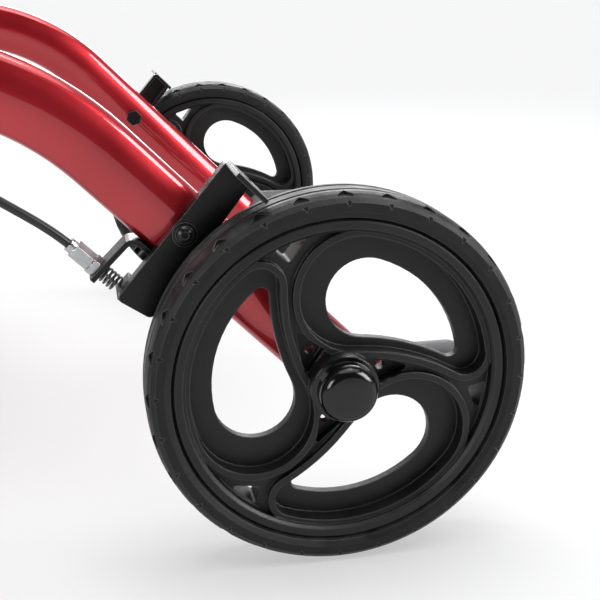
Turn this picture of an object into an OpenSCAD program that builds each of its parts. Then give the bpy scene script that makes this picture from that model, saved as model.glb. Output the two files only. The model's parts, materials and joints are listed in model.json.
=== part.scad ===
/* [Wheels] */
// Outside diameter of each wheel
wheel_d = 200; // [160:1:240]
// Width of the tyre across its shoulders
tyre_w = 34; // [28:1:44]
// Radius where the tyre meets the rim
bead_r = 87; // [68:1:100]
// Tread blocks around each shoulder
tread_n = 28; // [18:1:36]
// Depth of the shoulder notches
tread_depth = 1.9; // [0.5:0.1:2.5]
// Half width of the rim
rim_half = 14; // [12:0.5:16]
// Axle bolt diameter
axle_d = 12; // [8:0.5:14]
// Outside diameter of each wheel bearing
bearing_d = 28; // [24:0.5:30]
// Width of each wheel bearing
bearing_w = 8; // [6:0.5:10]

/* [Frame] */
// Distance between the left and right wheel centres
track = 510; // [420:1:620]
// Distance between the front and rear axles
wheelbase = 600; // [560:1:720]
// Height of the oval rail tube
rail_h = 38; // [30:1:44]
// Width of the oval rail tube
rail_w = 20; // [16:0.5:26]
// Wall of the rail tube
rail_wall = 2; // [1.2:0.1:3]
// Height of the level part of the rails above the floor
rail_z = 258; // [240:1:310]
// Slope of the rails at the rear axle, in degrees
rail_slope = 45; // [35:1:50]
// Centreline radius of the rail bends
bend_r = 150; // [110:1:170]
// Gap between wheel centre plane and rail centreline
rail_inset = 38; // [34:1:50]
// Outside diameter of the round cross tubes
cross_d = 28; // [22:1:32]

/* [Front axle] */
// Gap between wheel centre plane and kingpin
kingpin_inset = 55; // [50:1:70]
// Diameter of the front beam tube
beam_d = 32; // [26:1:36]
// Height of the front beam above the floor
beam_z = 150; // [146:1:170]
// Kingpin diameter
kingpin_d = 12; // [8:0.5:14]
// Length of each steering arm, measured rearwards
arm_len = 45; // [36:1:55]
// Sideways offset of each tie rod pin
arm_side = 18; // [16:1:24]

/* [Steering column] */
// Outside diameter of the head tube
head_d = 44; // [40:1:50]
// Top of the head tube above the floor
head_top = 322; // [300:1:350]
// Outside diameter of the stem and handlebar post
stem_d = 28.6; // [25:0.1:30]
// Height of the folding hinge above the floor
hinge_z = 430; // [405:1:460]
// Outside diameter of the column tube
column_d = 36; // [33:0.5:42]
// Top of the column tube above the floor
column_top = 740; // [700:1:780]
// Height of the handlebar above the floor
bar_z = 912; // [880:1:960]
// Overall width of the handlebar
bar_w = 520; // [440:1:600]
// Handlebar tube diameter
bar_d = 22.2; // [20:0.1:25.4]
// Diameter of the grips
grip_d = 33; // [28:1:38]

/* [Knee rest] */
// Length of the knee cushion
pad_l = 330; // [260:1:400]
// Width of the knee cushion
pad_w = 190; // [150:1:230]
// Thickness of the knee cushion
pad_t = 62; // [40:1:80]
// Height of the underside of the knee cushion, lowest setting
pad_z = 404; // [395:1:440]
// Outside diameter of the knee post
post_d = 34; // [28:0.5:38]

/* [Fits] */
// Radial clearance of every running fit
fit = 0.05; // [0.02:0.01:0.1]
// Radial clearance of the sliding posts
slide_fit = 0.1; // [0.05:0.01:0.1]
// Gap left between pieces that must not touch
gap = 0.4; // [0.3:0.05:0.8]

/* [Hidden] */
$fn = 48;

wheel_r = wheel_d / 2;
wheel_y = track / 2;
rear_x = -wheelbase / 2;
front_x = wheelbase / 2;
rail_y = wheel_y - rail_inset;
kingpin_y = wheel_y - kingpin_inset;

// Wheel faces, measured outwards from the wheel's centre plane
hub_in = -20;
hub_out = 18;
hub_r = bearing_d / 2 + 3.5;
spacer_r = axle_d / 2 + 3;
nut_r = axle_d * 0.87;
nut_h = 8;
cap_r = nut_r + 4.6;
cap_out = 31;

// Rail route
rise = rail_z - wheel_r;
bend_rise = bend_r * (1 - cos(rail_slope));
slope_run = (rise - bend_rise) / tan(rail_slope);
slope_len = (rise - bend_rise) / sin(rail_slope);
rail_tail = 30;
bend_x = rear_x + slope_run + bend_r * sin(rail_slope);
turn_angle = 45;
turn_x = front_x - (rail_y - bend_r * (1 - cos(turn_angle))) / tan(turn_angle) - bend_r * sin(turn_angle);
turn_end = [turn_x + bend_r * sin(turn_angle), rail_y - bend_r * (1 - cos(turn_angle))];
turn_len = turn_end.y / sin(turn_angle);

// Stations along the sloped rail, measured up the rail from the axle
pivot_s = 106;
pivot_d = 8;
strap_s = 123;
strap_t = 2.8;
strap_drop = 32;
cable_n = -rail_h / 2 - 26;
arm_t = 2.5;
arm_face = rail_inset - rail_w / 2 - 19.5;
blade_n = 40;
lug_s = 105.5;
cable_d = 5;

// Knee post
cross_x = [bend_x + cross_d / 2 + 4, turn_x - cross_d / 2 - 1];
post_x = (cross_x[0] + cross_x[1]) / 2;
sleeve_r = post_d / 2 + slide_fit + 3.2;
sleeve_z = [rail_z - 32, rail_z + 90];
post_bottom = rail_z - 90;
pad_x = post_x - 60;
tray_t = 5;
tray_z = pad_z - tray_t;

// Head and stem
head_r = head_d / 2;
bore_r = head_r - 4;
stem_r = stem_d / 2;
housing_h = 44;
pitman_top = beam_z - housing_h / 2 - gap;
ear_t = 6;
stud_r = 4;
rod_h = 8;
rod_z = pitman_top - ear_t - 1 - rod_h / 2;
stem_top = hinge_z - 46;
hinge_r = 17;
hinge_pin_d = 10;
column_r = column_d / 2;
latch_x = 26;
latch_drop = 24;
lever_gap = 9;
post_low = column_top - 150;

// Handlebar
bar_mid = 70;
bar_turn = 14;
bar_bend = 90;
grip_len = 118;
bar_straight = (bar_w / 2 - bar_mid - bar_bend * sin(bar_turn)) / cos(bar_turn);
bar_knee = [-bar_bend * (1 - cos(bar_turn)), bar_mid + bar_bend * sin(bar_turn)];
mount_s = bar_straight - grip_len - 16;

function unit(v) = v / norm(v);

function near(a, ref) = a + 360 * round((ref - a) / 360);

function heading(v) = atan2(v.y, v.x);

function arc(c, r, a0, a1, n) = [
    for (i = [0:n]) let (a = a0 + (a1 - a0) * i / n) c + r * [cos(a), sin(a)]
];

// The outline pts with every corner rounded to radius r
function rounded(pts, r, n = 6) = [
    for (i = [0:len(pts) - 1])
        let (
            p = pts[i],
            u = unit(pts[(i + len(pts) - 1) % len(pts)] - p),
            v = unit(pts[(i + 1) % len(pts)] - p),
            half = acos(u * v) / 2,
            c = p + unit(u + v) * r / sin(half),
            a0 = heading(p + u * r / tan(half) - c),
            a1 = near(heading(p + v * r / tan(half) - c), a0)
        )
        each arc(c, r, a0, a1, n)
];

// A comma of four tangent arcs: a round head, the rim side, a small tail and the hub side
function comma(rim_side, head_a, head_r, tail_a, tail_r, hub_side, grow = 0) =
    let (
        h = (rim_side - head_r) * [cos(head_a), sin(head_a)],
        t = (rim_side - tail_r) * [cos(tail_a), sin(tail_a)],
        d = norm(t - h),
        e = (t - h) / d,
        to_h = hub_side + head_r,
        to_t = hub_side + tail_r,
        along = (to_h * to_h - to_t * to_t + d * d) / (2 * d),
        c = h + along * e + sqrt(to_h * to_h - along * along) * [e.y, -e.x],
        a_ch = heading(c - h) + 360,
        a_ct = heading(c - t)
    )
    concat(
        arc(h, head_r + grow, a_ch, head_a, 22),
        arc([0, 0], rim_side + grow, head_a, tail_a, 12),
        arc(t, tail_r + grow, tail_a, a_ct, 8),
        arc(c, hub_side - grow, heading(t - c), heading(h - c), 8)
    );

// Left pieces as drawn, right pieces mirrored
module on_side(side) {
    if (side > 0) children();
    else mirror([0, 1, 0]) children();
}

module both_sides() {
    children();
    mirror([0, 1, 0]) children();
}

// Local X towards the rear, local Y up, local Z outwards from the wheel's centre plane
module at_wheel(x, side) {
    on_side(side) translate([x, wheel_y, wheel_r]) rotate([90, 0, 180]) children();
}

// Local X up along the sloped rail from the axle, local Z square to it, local Y outwards
module on_slope() {
    translate([rear_x, rail_y, wheel_r]) rotate([0, -rail_slope, 0]) children();
}

// An oval of four tangent arcs, with its ends rounded to 0.35 of its width
module oval(h, w) {
    end_r = 0.35 * w;
    end_y = h / 2 - end_r;
    side_r = (w * w / 4 + end_y * end_y - end_r * end_r) / (w - 2 * end_r);
    side_x = side_r - w / 2;
    meet_y = end_y * side_r / (side_r - end_r);
    intersection() {
        translate([-side_x, 0]) circle(r = side_r);
        translate([side_x, 0]) circle(r = side_r);
        square([2 * w, 2 * meet_y], center = true);
    }
    for (s = [-1, 1]) translate([0, s * end_y]) circle(r = end_r);
}

module tube(outer_r, inner_r, h) {
    difference() {
        cylinder(r = outer_r, h = h);
        translate([0, 0, -1]) cylinder(r = inner_r, h = h + 2);
    }
}

// ---- Wheels

module tyre_section() {
    half = tyre_w / 2;
    r = wheel_r;
    side = [
        [bead_r + 0.1, rim_half - 1], [bead_r + 1, rim_half + 1.6], [bead_r + 4, half],
        [r - 4.5, half], [r - 2.2, half - 2], [r - 0.8, half - 4.6], [r - 0.1, half - 8],
        [r, 6.4], [r - 1.6, 5.8], [r - 1.6, 4.2], [r, 3.6]
    ];
    polygon(concat(side, [for (i = [len(side) - 1:-1:0]) [side[i].x, -side[i].y]]));
}

module tread_notch() {
    half = tyre_w / 2;
    translate([wheel_r - tread_depth, 0, 0]) rotate([90, 0, 90]) linear_extrude(6)
        polygon([[-4.5, half + 1], [4.5, half + 1], [4, half - 4], [0, half - 8.5], [-4, half - 4]]);
    translate([wheel_r - 6.5, 0, half - 0.8]) linear_extrude(3)
        polygon([[0, -1.5], [8, -4.5], [8, 4.5]]);
}

module tyre(x, side) {
    color([0.09, 0.09, 0.1]) at_wheel(x, side) difference() {
        rotate_extrude($fn = 96) tyre_section();
        for (i = [0:tread_n - 1]) {
            rotate(i * 360 / tread_n) tread_notch();
            rotate((i + 0.5) * 360 / tread_n) mirror([0, 0, 1]) tread_notch();
        }
    }
}

pocket_r = bead_r - 9;
window_r = bead_r - 21;
web_half = 2.5;
plate_half = 8;
lip_half = 11.5;

module window_shape() { polygon(comma(window_r, 71.4, 21.2, 10.5, 4.4, 118)); }

module pocket_shape(grow = 0) { polygon(comma(pocket_r, 80, 30.3, 8, 10, 110, grow)); }

module rim_triangle() {
    polygon(rounded([for (p = [[79.7, 115.5], [79.7, 102], [70, 112.5]])
        (p[0] - 87 + bead_r) * [cos(p[1]), sin(p[1])]], 1.2, 4));
}

module hub_triangle() {
    polygon(rounded([[12.5, 14.5], [37.5, 5.6], [20.5, -2]], 1.6, 4));
}

module three() {
    for (a = [0, 120, 240]) rotate(a) children();
}

module rim(x, side) {
    color([0.07, 0.07, 0.075]) at_wheel(x, side) difference() {
        union() {
            rotate_extrude($fn = 96) polygon([
                [bead_r - 6.5, -rim_half + 1], [bead_r - 5, -rim_half - 0.6], [bead_r - 1.2, -rim_half - 0.6],
                [bead_r, -rim_half + 0.6], [bead_r, rim_half - 0.6], [bead_r - 1.2, rim_half + 0.6],
                [bead_r - 5, rim_half + 0.6], [bead_r - 6.5, rim_half - 1]
            ]);
            translate([0, 0, -plate_half]) cylinder(r = bead_r - 6, h = 2 * plate_half);
            intersection() {
                translate([0, 0, -lip_half]) cylinder(r = bead_r - 6, h = 2 * lip_half);
                translate([0, 0, -lip_half]) three() linear_extrude(2 * lip_half) pocket_shape(3.6);
            }
            translate([0, 0, hub_in]) cylinder(r = hub_r, h = hub_out - hub_in);
        }
        three() {
            for (s = [0, 1]) mirror([0, 0, s]) translate([0, 0, web_half]) difference() {
                linear_extrude(lip_half) pocket_shape();
                translate([0, 0, -1]) cylinder(r = hub_r, h = 20);
            }
            translate([0, 0, -20]) linear_extrude(40) window_shape();
            translate([0, 0, -20]) linear_extrude(40) rim_triangle();
            for (s = [0, 1]) mirror([0, 0, s]) translate([0, 0, web_half]) difference() {
                linear_extrude(lip_half) hub_triangle();
                translate([0, 0, -1]) cylinder(r = hub_r, h = 20);
            }
            rotate(13) translate([23, 0, -20]) cylinder(r = 2.5, h = 40);
        }
        translate([0, 0, -30]) cylinder(r = bearing_d / 2 - 3, h = 60);
        translate([0, 0, hub_out - bearing_w]) cylinder(r = bearing_d / 2 + fit, h = 20);
        translate([0, 0, hub_in - 10]) cylinder(r = bearing_d / 2 + fit, h = 10 + bearing_w);
    }
}

module cap(x, side) {
    height = cap_out - hub_out;
    shoulder = 5.5;
    crown_a = 78;
    crown_r = (cap_r - shoulder * (1 - cos(crown_a))) / cos(crown_a);
    shoulder_z = height - crown_r * (1 - sin(crown_a)) - shoulder * sin(crown_a);
    color([0.03, 0.03, 0.03]) at_wheel(x, side) translate([0, 0, hub_out]) rotate_extrude($fn = 64)
        polygon(concat(
            [[nut_r + 1.2, 0.05], [hub_r, 0.05], [hub_r, 1.2], [cap_r, 1.8]],
            arc([cap_r - shoulder, shoulder_z], shoulder, 0, crown_a, 8),
            arc([0, height - crown_r], crown_r, crown_a + 3, 90, 3),
            [[0, nut_h + 2], [nut_r + 1.2, nut_h + 2]]
        ));
}

module bearings(x, side) {
    color([0.7, 0.7, 0.72]) at_wheel(x, side)
        for (z = [hub_in, hub_out - bearing_w]) translate([0, 0, z]) difference() {
            tube(bearing_d / 2, axle_d / 2 + fit, bearing_w);
            for (e = [-0.1, bearing_w - 0.7]) translate([0, 0, e])
                tube(bearing_d / 2 - 2.4, axle_d / 2 + 2.6, 0.8);
        }
}

// Bolt, rail-side spacer and both ends, along the wheel's own axis
module rear_axles() {
    inner = -rail_inset - rail_w / 2;
    color([0.75, 0.76, 0.78]) for (side = [1, -1]) at_wheel(rear_x, side) {
        translate([0, 0, inner]) cylinder(d = axle_d, h = hub_out + nut_h + 1 - inner);
        translate([0, 0, inner - 7]) cylinder(r = nut_r, h = 7, $fn = 6);
        translate([0, 0, hub_out + gap]) cylinder(r = nut_r, h = nut_h - gap, $fn = 6);
        translate([0, 0, -rail_inset + rail_w / 2])
            tube(spacer_r, axle_d / 2, hub_in - gap / 2 + rail_inset - rail_w / 2);
    }
}

// ---- Frame

module rail_section() {
    difference() {
        oval(rail_h, rail_w);
        oval(rail_h - 2 * rail_wall, rail_w - 2 * rail_wall);
    }
}

module rail(side) {
    color([0.62, 0.06, 0.1]) on_side(side) difference() {
        union() {
            translate([bend_x, rail_y, rail_z - bend_r]) rotate([90, 0, 0]) {
                rotate([0, 0, 90]) rotate_extrude(angle = rail_slope)
                    translate([bend_r, 0]) rotate(90) rail_section();
                rotate([0, 0, 90 + rail_slope]) translate([bend_r, 0, 0]) rotate([-90, 0, 0])
                    linear_extrude(slope_len + rail_tail) rotate(90) rail_section();
            }
            translate([bend_x, rail_y, rail_z]) rotate([90, 0, 90]) linear_extrude(turn_x - bend_x) rail_section();
            translate([turn_x, rail_y - bend_r, rail_z]) rotate([0, 0, 90 - turn_angle])
                rotate_extrude(angle = turn_angle) translate([bend_r, 0]) rail_section();
            translate([turn_end.x, turn_end.y, rail_z]) rotate([0, 0, -turn_angle]) rotate([90, 0, 90])
                linear_extrude(turn_len) rail_section();
        }
        translate([front_x, 0, 0]) cylinder(r = head_r, h = 400);
        translate([rear_x, wheel_y, wheel_r]) rotate([90, 0, 0]) cylinder(d = axle_d, h = 80);
        on_slope() translate([pivot_s, 20, 0]) rotate([90, 0, 0]) cylinder(d = pivot_d, h = 40);
    }
}

// Moulded plug and tipping peg in the tail of each rail
module tip_pegs() {
    drop = 10;
    color([0.16, 0.16, 0.17]) both_sides() difference() {
        union() {
            on_slope() translate([-rail_tail - 3, 0, 0]) rotate([90, 0, 90])
                linear_extrude(3) oval(rail_h, rail_w);
            on_slope() translate([-rail_tail - 0.5, 0, 0]) rotate([90, 0, 90])
                linear_extrude(16) oval(rail_h - 2 * rail_wall - 0.2, rail_w - 2 * rail_wall - 0.2);
            translate([rear_x - 74, rail_y, wheel_r - drop]) rotate([0, 90, 0]) cylinder(d = 21, h = 44);
            translate([rear_x - 74, rail_y, wheel_r - drop]) sphere(d = 21);
        }
        on_slope() translate([-rail_tail, -20, -30]) cube([40, 40, 60]);
    }
    color([0.16, 0.16, 0.17]) both_sides() on_slope() translate([-rail_tail, 0, 0]) rotate([90, 0, 90])
        linear_extrude(15.5) oval(rail_h - 2 * rail_wall - 0.2, rail_w - 2 * rail_wall - 0.2);
}

// Two cross tubes, and the post's sleeve with its saddle plates and split clamp ears
module cross_frame() {
    saddle = [cross_x[1] - cross_x[0] + cross_d + 12, 56, 5];
    ear_x = post_x - sleeve_r - lever_gap;
    color([0.62, 0.06, 0.1]) difference() {
        union() {
            for (x = cross_x) translate([x, 0, rail_z]) rotate([90, 0, 0])
                cylinder(d = cross_d, h = 2 * rail_y - rail_w, center = true);
            translate([post_x, 0, sleeve_z[0]]) cylinder(r = sleeve_r, h = sleeve_z[1] - sleeve_z[0]);
            for (z = [rail_z + cross_d / 2 - 1, rail_z - cross_d / 2 - saddle.z + 1])
                translate([post_x - saddle.x / 2, -saddle.y / 2, z]) cube(saddle);
            for (s = [-1, 1]) translate([ear_x - 7, s * 6.5 - 3, sleeve_z[1] - 26])
                cube([lever_gap + 12, 6, 24]);
        }
        translate([post_x, 0, 0]) cylinder(r = post_d / 2 + slide_fit, h = 500);
        translate([post_x - sleeve_r - 20, -2, sleeve_z[1] - 34]) cube([24, 4, 40]);
        translate([ear_x, 0, sleeve_z[1] - 14]) rotate([90, 0, 0])
            cylinder(r = 3 + fit, h = 40, center = true);
    }
}

module head_tube() {
    low = beam_z - housing_h / 2;
    color([0.62, 0.06, 0.1]) difference() {
        translate([front_x, 0, low]) tube(head_r, bore_r, head_top - low);
        translate([front_x + head_r + 5, 0, head_top - 58]) for (z = [0, 30]) translate([0, 0, z])
            rotate([0, -90, 0]) cylinder(r = 2.75, h = 12);
    }
}

module headset() {
    low = beam_z - housing_h / 2;
    color([0.08, 0.08, 0.08]) for (top = [0, 1]) translate([front_x, 0, top ? head_top : low])
        mirror([0, 0, top]) {
            tube(bore_r, stem_r + fit, 14);
            if (top) mirror([0, 0, 1]) tube(head_r - 1, stem_r + fit, 6);
        }
}

module front_beam() {
    low = beam_z - housing_h / 2;
    color([0.62, 0.06, 0.1]) both_sides() difference() {
        union() {
            translate([front_x, kingpin_y, beam_z]) rotate([90, 0, 0]) cylinder(d = beam_d, h = kingpin_y);
            translate([front_x, kingpin_y, low]) cylinder(d = 30, h = housing_h);
        }
        translate([front_x, 0, 0]) cylinder(r = head_r, h = 400);
        translate([front_x, kingpin_y, 0]) cylinder(r = kingpin_d / 2 + fit, h = 400);
    }
}

module kingpins() {
    low = beam_z - housing_h / 2 - gap - ear_t;
    high = beam_z + housing_h / 2 + gap + ear_t;
    color([0.75, 0.76, 0.78]) both_sides() translate([front_x, kingpin_y, 0]) {
        translate([0, 0, low - 1]) cylinder(d = kingpin_d, h = high - low + 2);
        translate([0, 0, low - 9]) cylinder(r = nut_r, h = 8.6, $fn = 6);
        translate([0, 0, high + gap]) cylinder(d = 20, h = 3);
        translate([0, 0, high + 3]) rotate_extrude() polygon([[0, 0], [9, 0], [7.5, 3], [4, 4.4], [0, 4.6]]);
    }
}

// ---- Rear brakes

// Angle strap bolted under the rail, with the hole for the cable adjuster
module cable_brackets() {
    bottom = -rail_h / 2;
    color([0.06, 0.06, 0.06]) both_sides() on_slope() difference() {
        union() {
            translate([0, 8, 0]) rotate([90, 0, 0]) linear_extrude(16) polygon(concat(
                [[strap_s - 22, bottom], [strap_s - 22, bottom - strap_t]],
                arc([strap_s - strap_t - 4, bottom - strap_t - 4], 4, 90, 0, 6),
                [[strap_s - strap_t, bottom - strap_drop], [strap_s, bottom - strap_drop]],
                arc([strap_s - strap_t - 4, bottom - strap_t - 4], 4 + strap_t, 0, 90, 6)
            ));
            translate([strap_s - 13, 0, bottom - strap_t - 4]) cylinder(d = 11, h = 5);
        }
        translate([strap_s - 10, 0, cable_n]) rotate([0, 90, 0]) cylinder(r = 3.1, h = 20);
    }
    color([0.06, 0.06, 0.06]) both_sides() {
        translate([182.4, 97.4, 250.3]) rotate([90, 0, 45]) translate([0, 0, -4.5]) cable_ring();
        translate([-8, 205, 240.2]) rotate([0, 90, 0]) translate([0, 0, -4.5]) cable_ring();
    }
}

module cable_adjusters() {
    color([0.78, 0.8, 0.82]) both_sides() on_slope() translate([strap_s, 0, cable_n]) rotate([0, 90, 0])
        difference() {
            union() {
                translate([0, 0, -strap_t - 1.5]) cylinder(r = 3, h = 8);
                translate([0, 0, 0.1]) cylinder(r = 5.8, h = 4, $fn = 6);
                translate([0, 0, 4.6]) cylinder(r = 5.2, h = 11, $fn = 6);
                translate([0, 0, 4]) cylinder(r = 4, h = 15);
            }
            translate([0, 0, -10]) cylinder(r = 1.4, h = 24);
            translate([0, 0, 13]) cylinder(r = cable_d / 2 + 0.1, h = 12);
        }
}

function arm_outline(trim = 0) = [
    [88 + trim, -44], [108.5 - trim, -48], [116 - trim, blade_n + arm_t], [99 + trim, blade_n + arm_t]
];

// Folded brake arm on the rail's outer face, with the blade that reaches over the tyre
module brake_arm(side) {
    face = rail_w / 2 + arm_face;
    color([0.05, 0.05, 0.05]) on_side(side) on_slope() difference() {
        union() {
            translate([0, face, 0]) rotate([90, 0, 0]) linear_extrude(arm_t) polygon(rounded(arm_outline(), 3));
            translate([0, face, 0]) rotate([90, 0, 0]) linear_extrude(arm_face - gap) difference() {
                polygon(rounded(arm_outline(), 3));
                polygon([[88 + arm_t, -60], [108.5 - arm_t, -60], [116 - arm_t, blade_n], [99 + arm_t, blade_n]]);
            }
            translate([95.5, face - 0.01, blade_n]) cube([20, 34, arm_t]);
            translate([pivot_s, face, 0]) rotate([90, 0, 0]) cylinder(r = 7, h = arm_face - gap);
            translate([lug_s, -7, cable_n - 2.6]) cube([arm_t, face + 6, 10]);
        }
        translate([pivot_s, face + 5, 0]) rotate([90, 0, 0]) cylinder(r = pivot_d / 2 + fit, h = 40);
        translate([101, face + 4, blade_n - 5]) cube([5, 14, 20]);
        translate([lug_s - 5, 0, cable_n]) rotate([0, 90, 0]) cylinder(r = 1.3, h = 20);
    }
}

module brake_bolts() {
    face = rail_w / 2 + arm_face;
    color([0.1, 0.1, 0.11]) both_sides() on_slope() translate([pivot_s, 0, 0]) rotate([-90, 0, 0]) {
        translate([0, 0, -rail_w / 2]) cylinder(d = pivot_d, h = rail_w + arm_face + gap + 1);
        translate([0, 0, -rail_w / 2 - 5]) cylinder(r = 7, h = 5, $fn = 6);
        difference() {
            translate([0, 0, face + gap]) rotate_extrude()
                polygon([[0, 0], [6.4, 0], [6.4, 0.7], [4.6, 1], [3.9, 2.4], [2.4, 3.4], [0, 3.6]]);
            translate([0, 0, face + gap + 1.6]) cylinder(r = 2, h = 4, $fn = 6);
        }
    }
}

// One tube swept along pts with n sides
module swept(pts, r, n = 8) {
    count = len(pts);
    dirs = [for (i = [0:count - 1])
        unit(pts[min(i + 1, count - 1)] - pts[max(i - 1, 0)])];
    verts = [for (i = [0:count - 1])
        let (
            d = dirs[i],
            ref = abs(d.z) > 0.9 ? [1, 0, 0] : [0, 0, 1],
            u = unit(cross(d, ref)),
            v = cross(u, d)
        )
        for (k = [0:n - 1]) pts[i] + r * (cos(360 * k / n) * u + sin(360 * k / n) * v)];
    faces = concat(
        [[for (k = [n - 1:-1:0]) k]],
        [for (i = [0:count - 2], k = [0:n - 1])
            let (a = i * n + k, b = i * n + (k + 1) % n)
            each [[a, b, b + n], [a, b + n, a + n]]],
        [[for (k = [0:n - 1]) (count - 1) * n + k]]
    );
    polyhedron(verts, faces);
}

// Return spring between the strap and the brake arm's lug, with the bare wire through both
module brake_spring(side) {
    turns = 4.5;
    steps = 54;
    wire_r = 0.65;
    from_s = strap_s - strap_t - wire_r - 0.2;
    to_s = lug_s + arm_t + wire_r + gap;
    color([0.3, 0.3, 0.32]) on_side(side) on_slope() translate([0, 0, cable_n]) {
        swept([for (i = [0:steps]) let (a = 360 * turns * i / steps)
            [from_s + (to_s - from_s) * i / steps, 4.2 * cos(a), 4.2 * sin(a)]], wire_r, 6);
        translate([lug_s - 4, 0, 0]) rotate([0, 90, 0]) cylinder(r = 0.8, h = strap_s - lug_s + 14, $fn = 16);
        translate([lug_s - 6, 0, 0]) rotate([0, 90, 0]) cylinder(r = 2.1, h = 4);
    }
}

// ---- Front axle

module knuckle(side) {
    low = beam_z - housing_h / 2 - gap - ear_t;
    high = beam_z + housing_h / 2 + gap;
    plate_y = 16;
    color([0.06, 0.06, 0.06]) on_side(side) translate([front_x, kingpin_y, 0]) {
        difference() {
            union() {
                for (z = [low, high]) translate([0, 0, z]) {
                    cylinder(r = 14, h = ear_t);
                    translate([-14, 0, 0]) cube([28, plate_y + 1, ear_t]);
                }
                translate([-14, plate_y, wheel_r - 16]) cube([28, 7, high + ear_t - wheel_r + 16]);
                translate([0, 0, low]) linear_extrude(ear_t) polygon(rounded([
                    [14, -12], [14, 12], [-arm_len + 2, arm_side + 9], [-arm_len - 8, arm_side + 5],
                    [-arm_len - 8, arm_side - 7], [-8, -12]], 3));
                translate([-arm_len, arm_side, low - rod_h - 2]) cylinder(r = stud_r, h = rod_h + 3);
            }
            translate([0, 0, low - 1]) cylinder(r = kingpin_d / 2 + fit, h = 100);
        }
        translate([0, 0, wheel_r]) rotate([-90, 0, 0]) {
            translate([0, 0, plate_y + 6]) cylinder(d = axle_d, h = kingpin_inset + hub_out + nut_h - plate_y - 5);
            translate([0, 0, plate_y + 6]) cylinder(r = spacer_r, h = kingpin_inset + hub_in - gap / 2 - plate_y - 6);
            translate([0, 0, kingpin_inset + hub_out + gap]) cylinder(r = nut_r, h = nut_h - gap, $fn = 6);
        }
    }
}

module tie_rod(side) {
    reach = kingpin_y;
    color([0.75, 0.76, 0.78]) on_side(side) translate([front_x - arm_len, arm_side, rod_z]) difference() {
        union() {
            translate([0, 9, 0]) rotate([-90, 0, 0]) cylinder(r = 4, h = reach - 18);
            for (y = [0, reach]) translate([0, y, -rod_h / 2]) cylinder(r = 9, h = rod_h);
            for (y = [7, reach - 25]) translate([0, y, 0]) rotate([-90, 0, 0])
                cylinder(r = rod_h / 2 + 1.4, h = 18, $fn = 6);
        }
        translate([0, 0, -10]) cylinder(r = stud_r + fit, h = 20);
        translate([0, reach, -10]) cylinder(r = stud_r + 0.4, h = 20);
    }
}

// ---- Steering column

module stem() {
    color([0.72, 0.73, 0.75]) translate([front_x, 0, pitman_top - ear_t - 6])
        tube(stem_r, stem_r - 2.4, stem_top - pitman_top + ear_t + 6);
}

module pitman_arm() {
    color([0.06, 0.06, 0.06]) translate([front_x, 0, pitman_top - ear_t]) difference() {
        union() {
            linear_extrude(ear_t) polygon(rounded([
                [22, -12], [22, 12], [12, 22], [-12, 24], [-arm_len - 9, arm_side + 8],
                [-arm_len - 9, -arm_side - 8], [-12, -24], [12, -22]], 4));
            for (s = [-1, 1]) translate([-arm_len, s * arm_side, -rod_h - 2]) cylinder(r = stud_r, h = rod_h + 3);
        }
        translate([0, 0, -20]) cylinder(r = stem_r, h = 40);
    }
}

// Ring that holds a cable, open along local Z
module cable_ring(h = 9) {
    tube(cable_d / 2 + 1.7, cable_d / 2 + 0.7, h);
}

// Fork that carries the folding hinge, on top of the stem, with the latch's pin and two cable rings
module hinge_base() {
    cheek_y = 19;
    cheek_w = 8;
    color([0.07, 0.07, 0.07]) translate([front_x, 0, 0]) {
        difference() {
            union() {
                translate([0, 0, head_top + 7]) cylinder(r = 20, h = 46);
                translate([0, 0, stem_top - 18]) cylinder(r = 24, h = 22);
                for (s = [-1, 1]) translate([0, s * cheek_y, 0]) {
                    translate([0, 0, hinge_z]) rotate([90, 0, 0])
                        cylinder(r = hinge_r, h = cheek_w, center = true);
                    translate([-hinge_r, -cheek_w / 2, stem_top]) cube([2 * hinge_r, cheek_w, hinge_z - stem_top]);
                    translate([latch_x, 0, hinge_z - latch_drop]) rotate([90, 0, 0])
                        cylinder(r = 7, h = cheek_w, center = true);
                    translate([0, -cheek_w / 2, hinge_z - latch_drop - 7]) cube([latch_x, cheek_w, 14]);
                }
                for (s = [-1, 1]) translate([-19, s * 22, 341]) cylinder(r = cable_d / 2 + 1.7, h = 9);
            }
            translate([0, 0, head_top]) cylinder(r = stem_r, h = stem_top - head_top);
            translate([0, 0, hinge_z]) rotate([90, 0, 0])
                cylinder(r = hinge_pin_d / 2 + fit, h = 80, center = true);
            for (s = [-1, 1]) translate([-19, s * 22, 330]) cylinder(r = cable_d / 2 + 0.7, h = 30);
        }
        translate([latch_x, 0, hinge_z - latch_drop]) rotate([90, 0, 0])
            cylinder(r = 2.5, h = 2 * cheek_y, center = true);
    }
}

module hinge_head() {
    color([0.07, 0.07, 0.07]) translate([front_x, 0, 0]) difference() {
        union() {
            translate([0, 0, hinge_z]) rotate([90, 0, 0]) cylinder(r = hinge_r - 1, h = 29, center = true);
            translate([-13, -14.5, hinge_z]) cube([26, 29, 30]);
            translate([0, 0, hinge_z + 22]) cylinder(r = 24, h = 10);
            translate([0, 0, hinge_z + 22]) cylinder(r = stem_r, h = 50);
        }
        translate([0, 0, hinge_z]) rotate([90, 0, 0]) cylinder(r = hinge_pin_d / 2, h = 80, center = true);
    }
}

module hinge_pin() {
    color([0.75, 0.76, 0.78]) translate([front_x, 0, hinge_z]) rotate([90, 0, 0]) {
        cylinder(d = hinge_pin_d, h = 50, center = true);
        for (s = [0, 1]) mirror([0, 0, s]) translate([0, 0, 23 + gap])
            rotate_extrude() polygon([[0, 0], [9, 0], [9, 2], [7, 4], [0, 4.6]]);
    }
}

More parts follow.
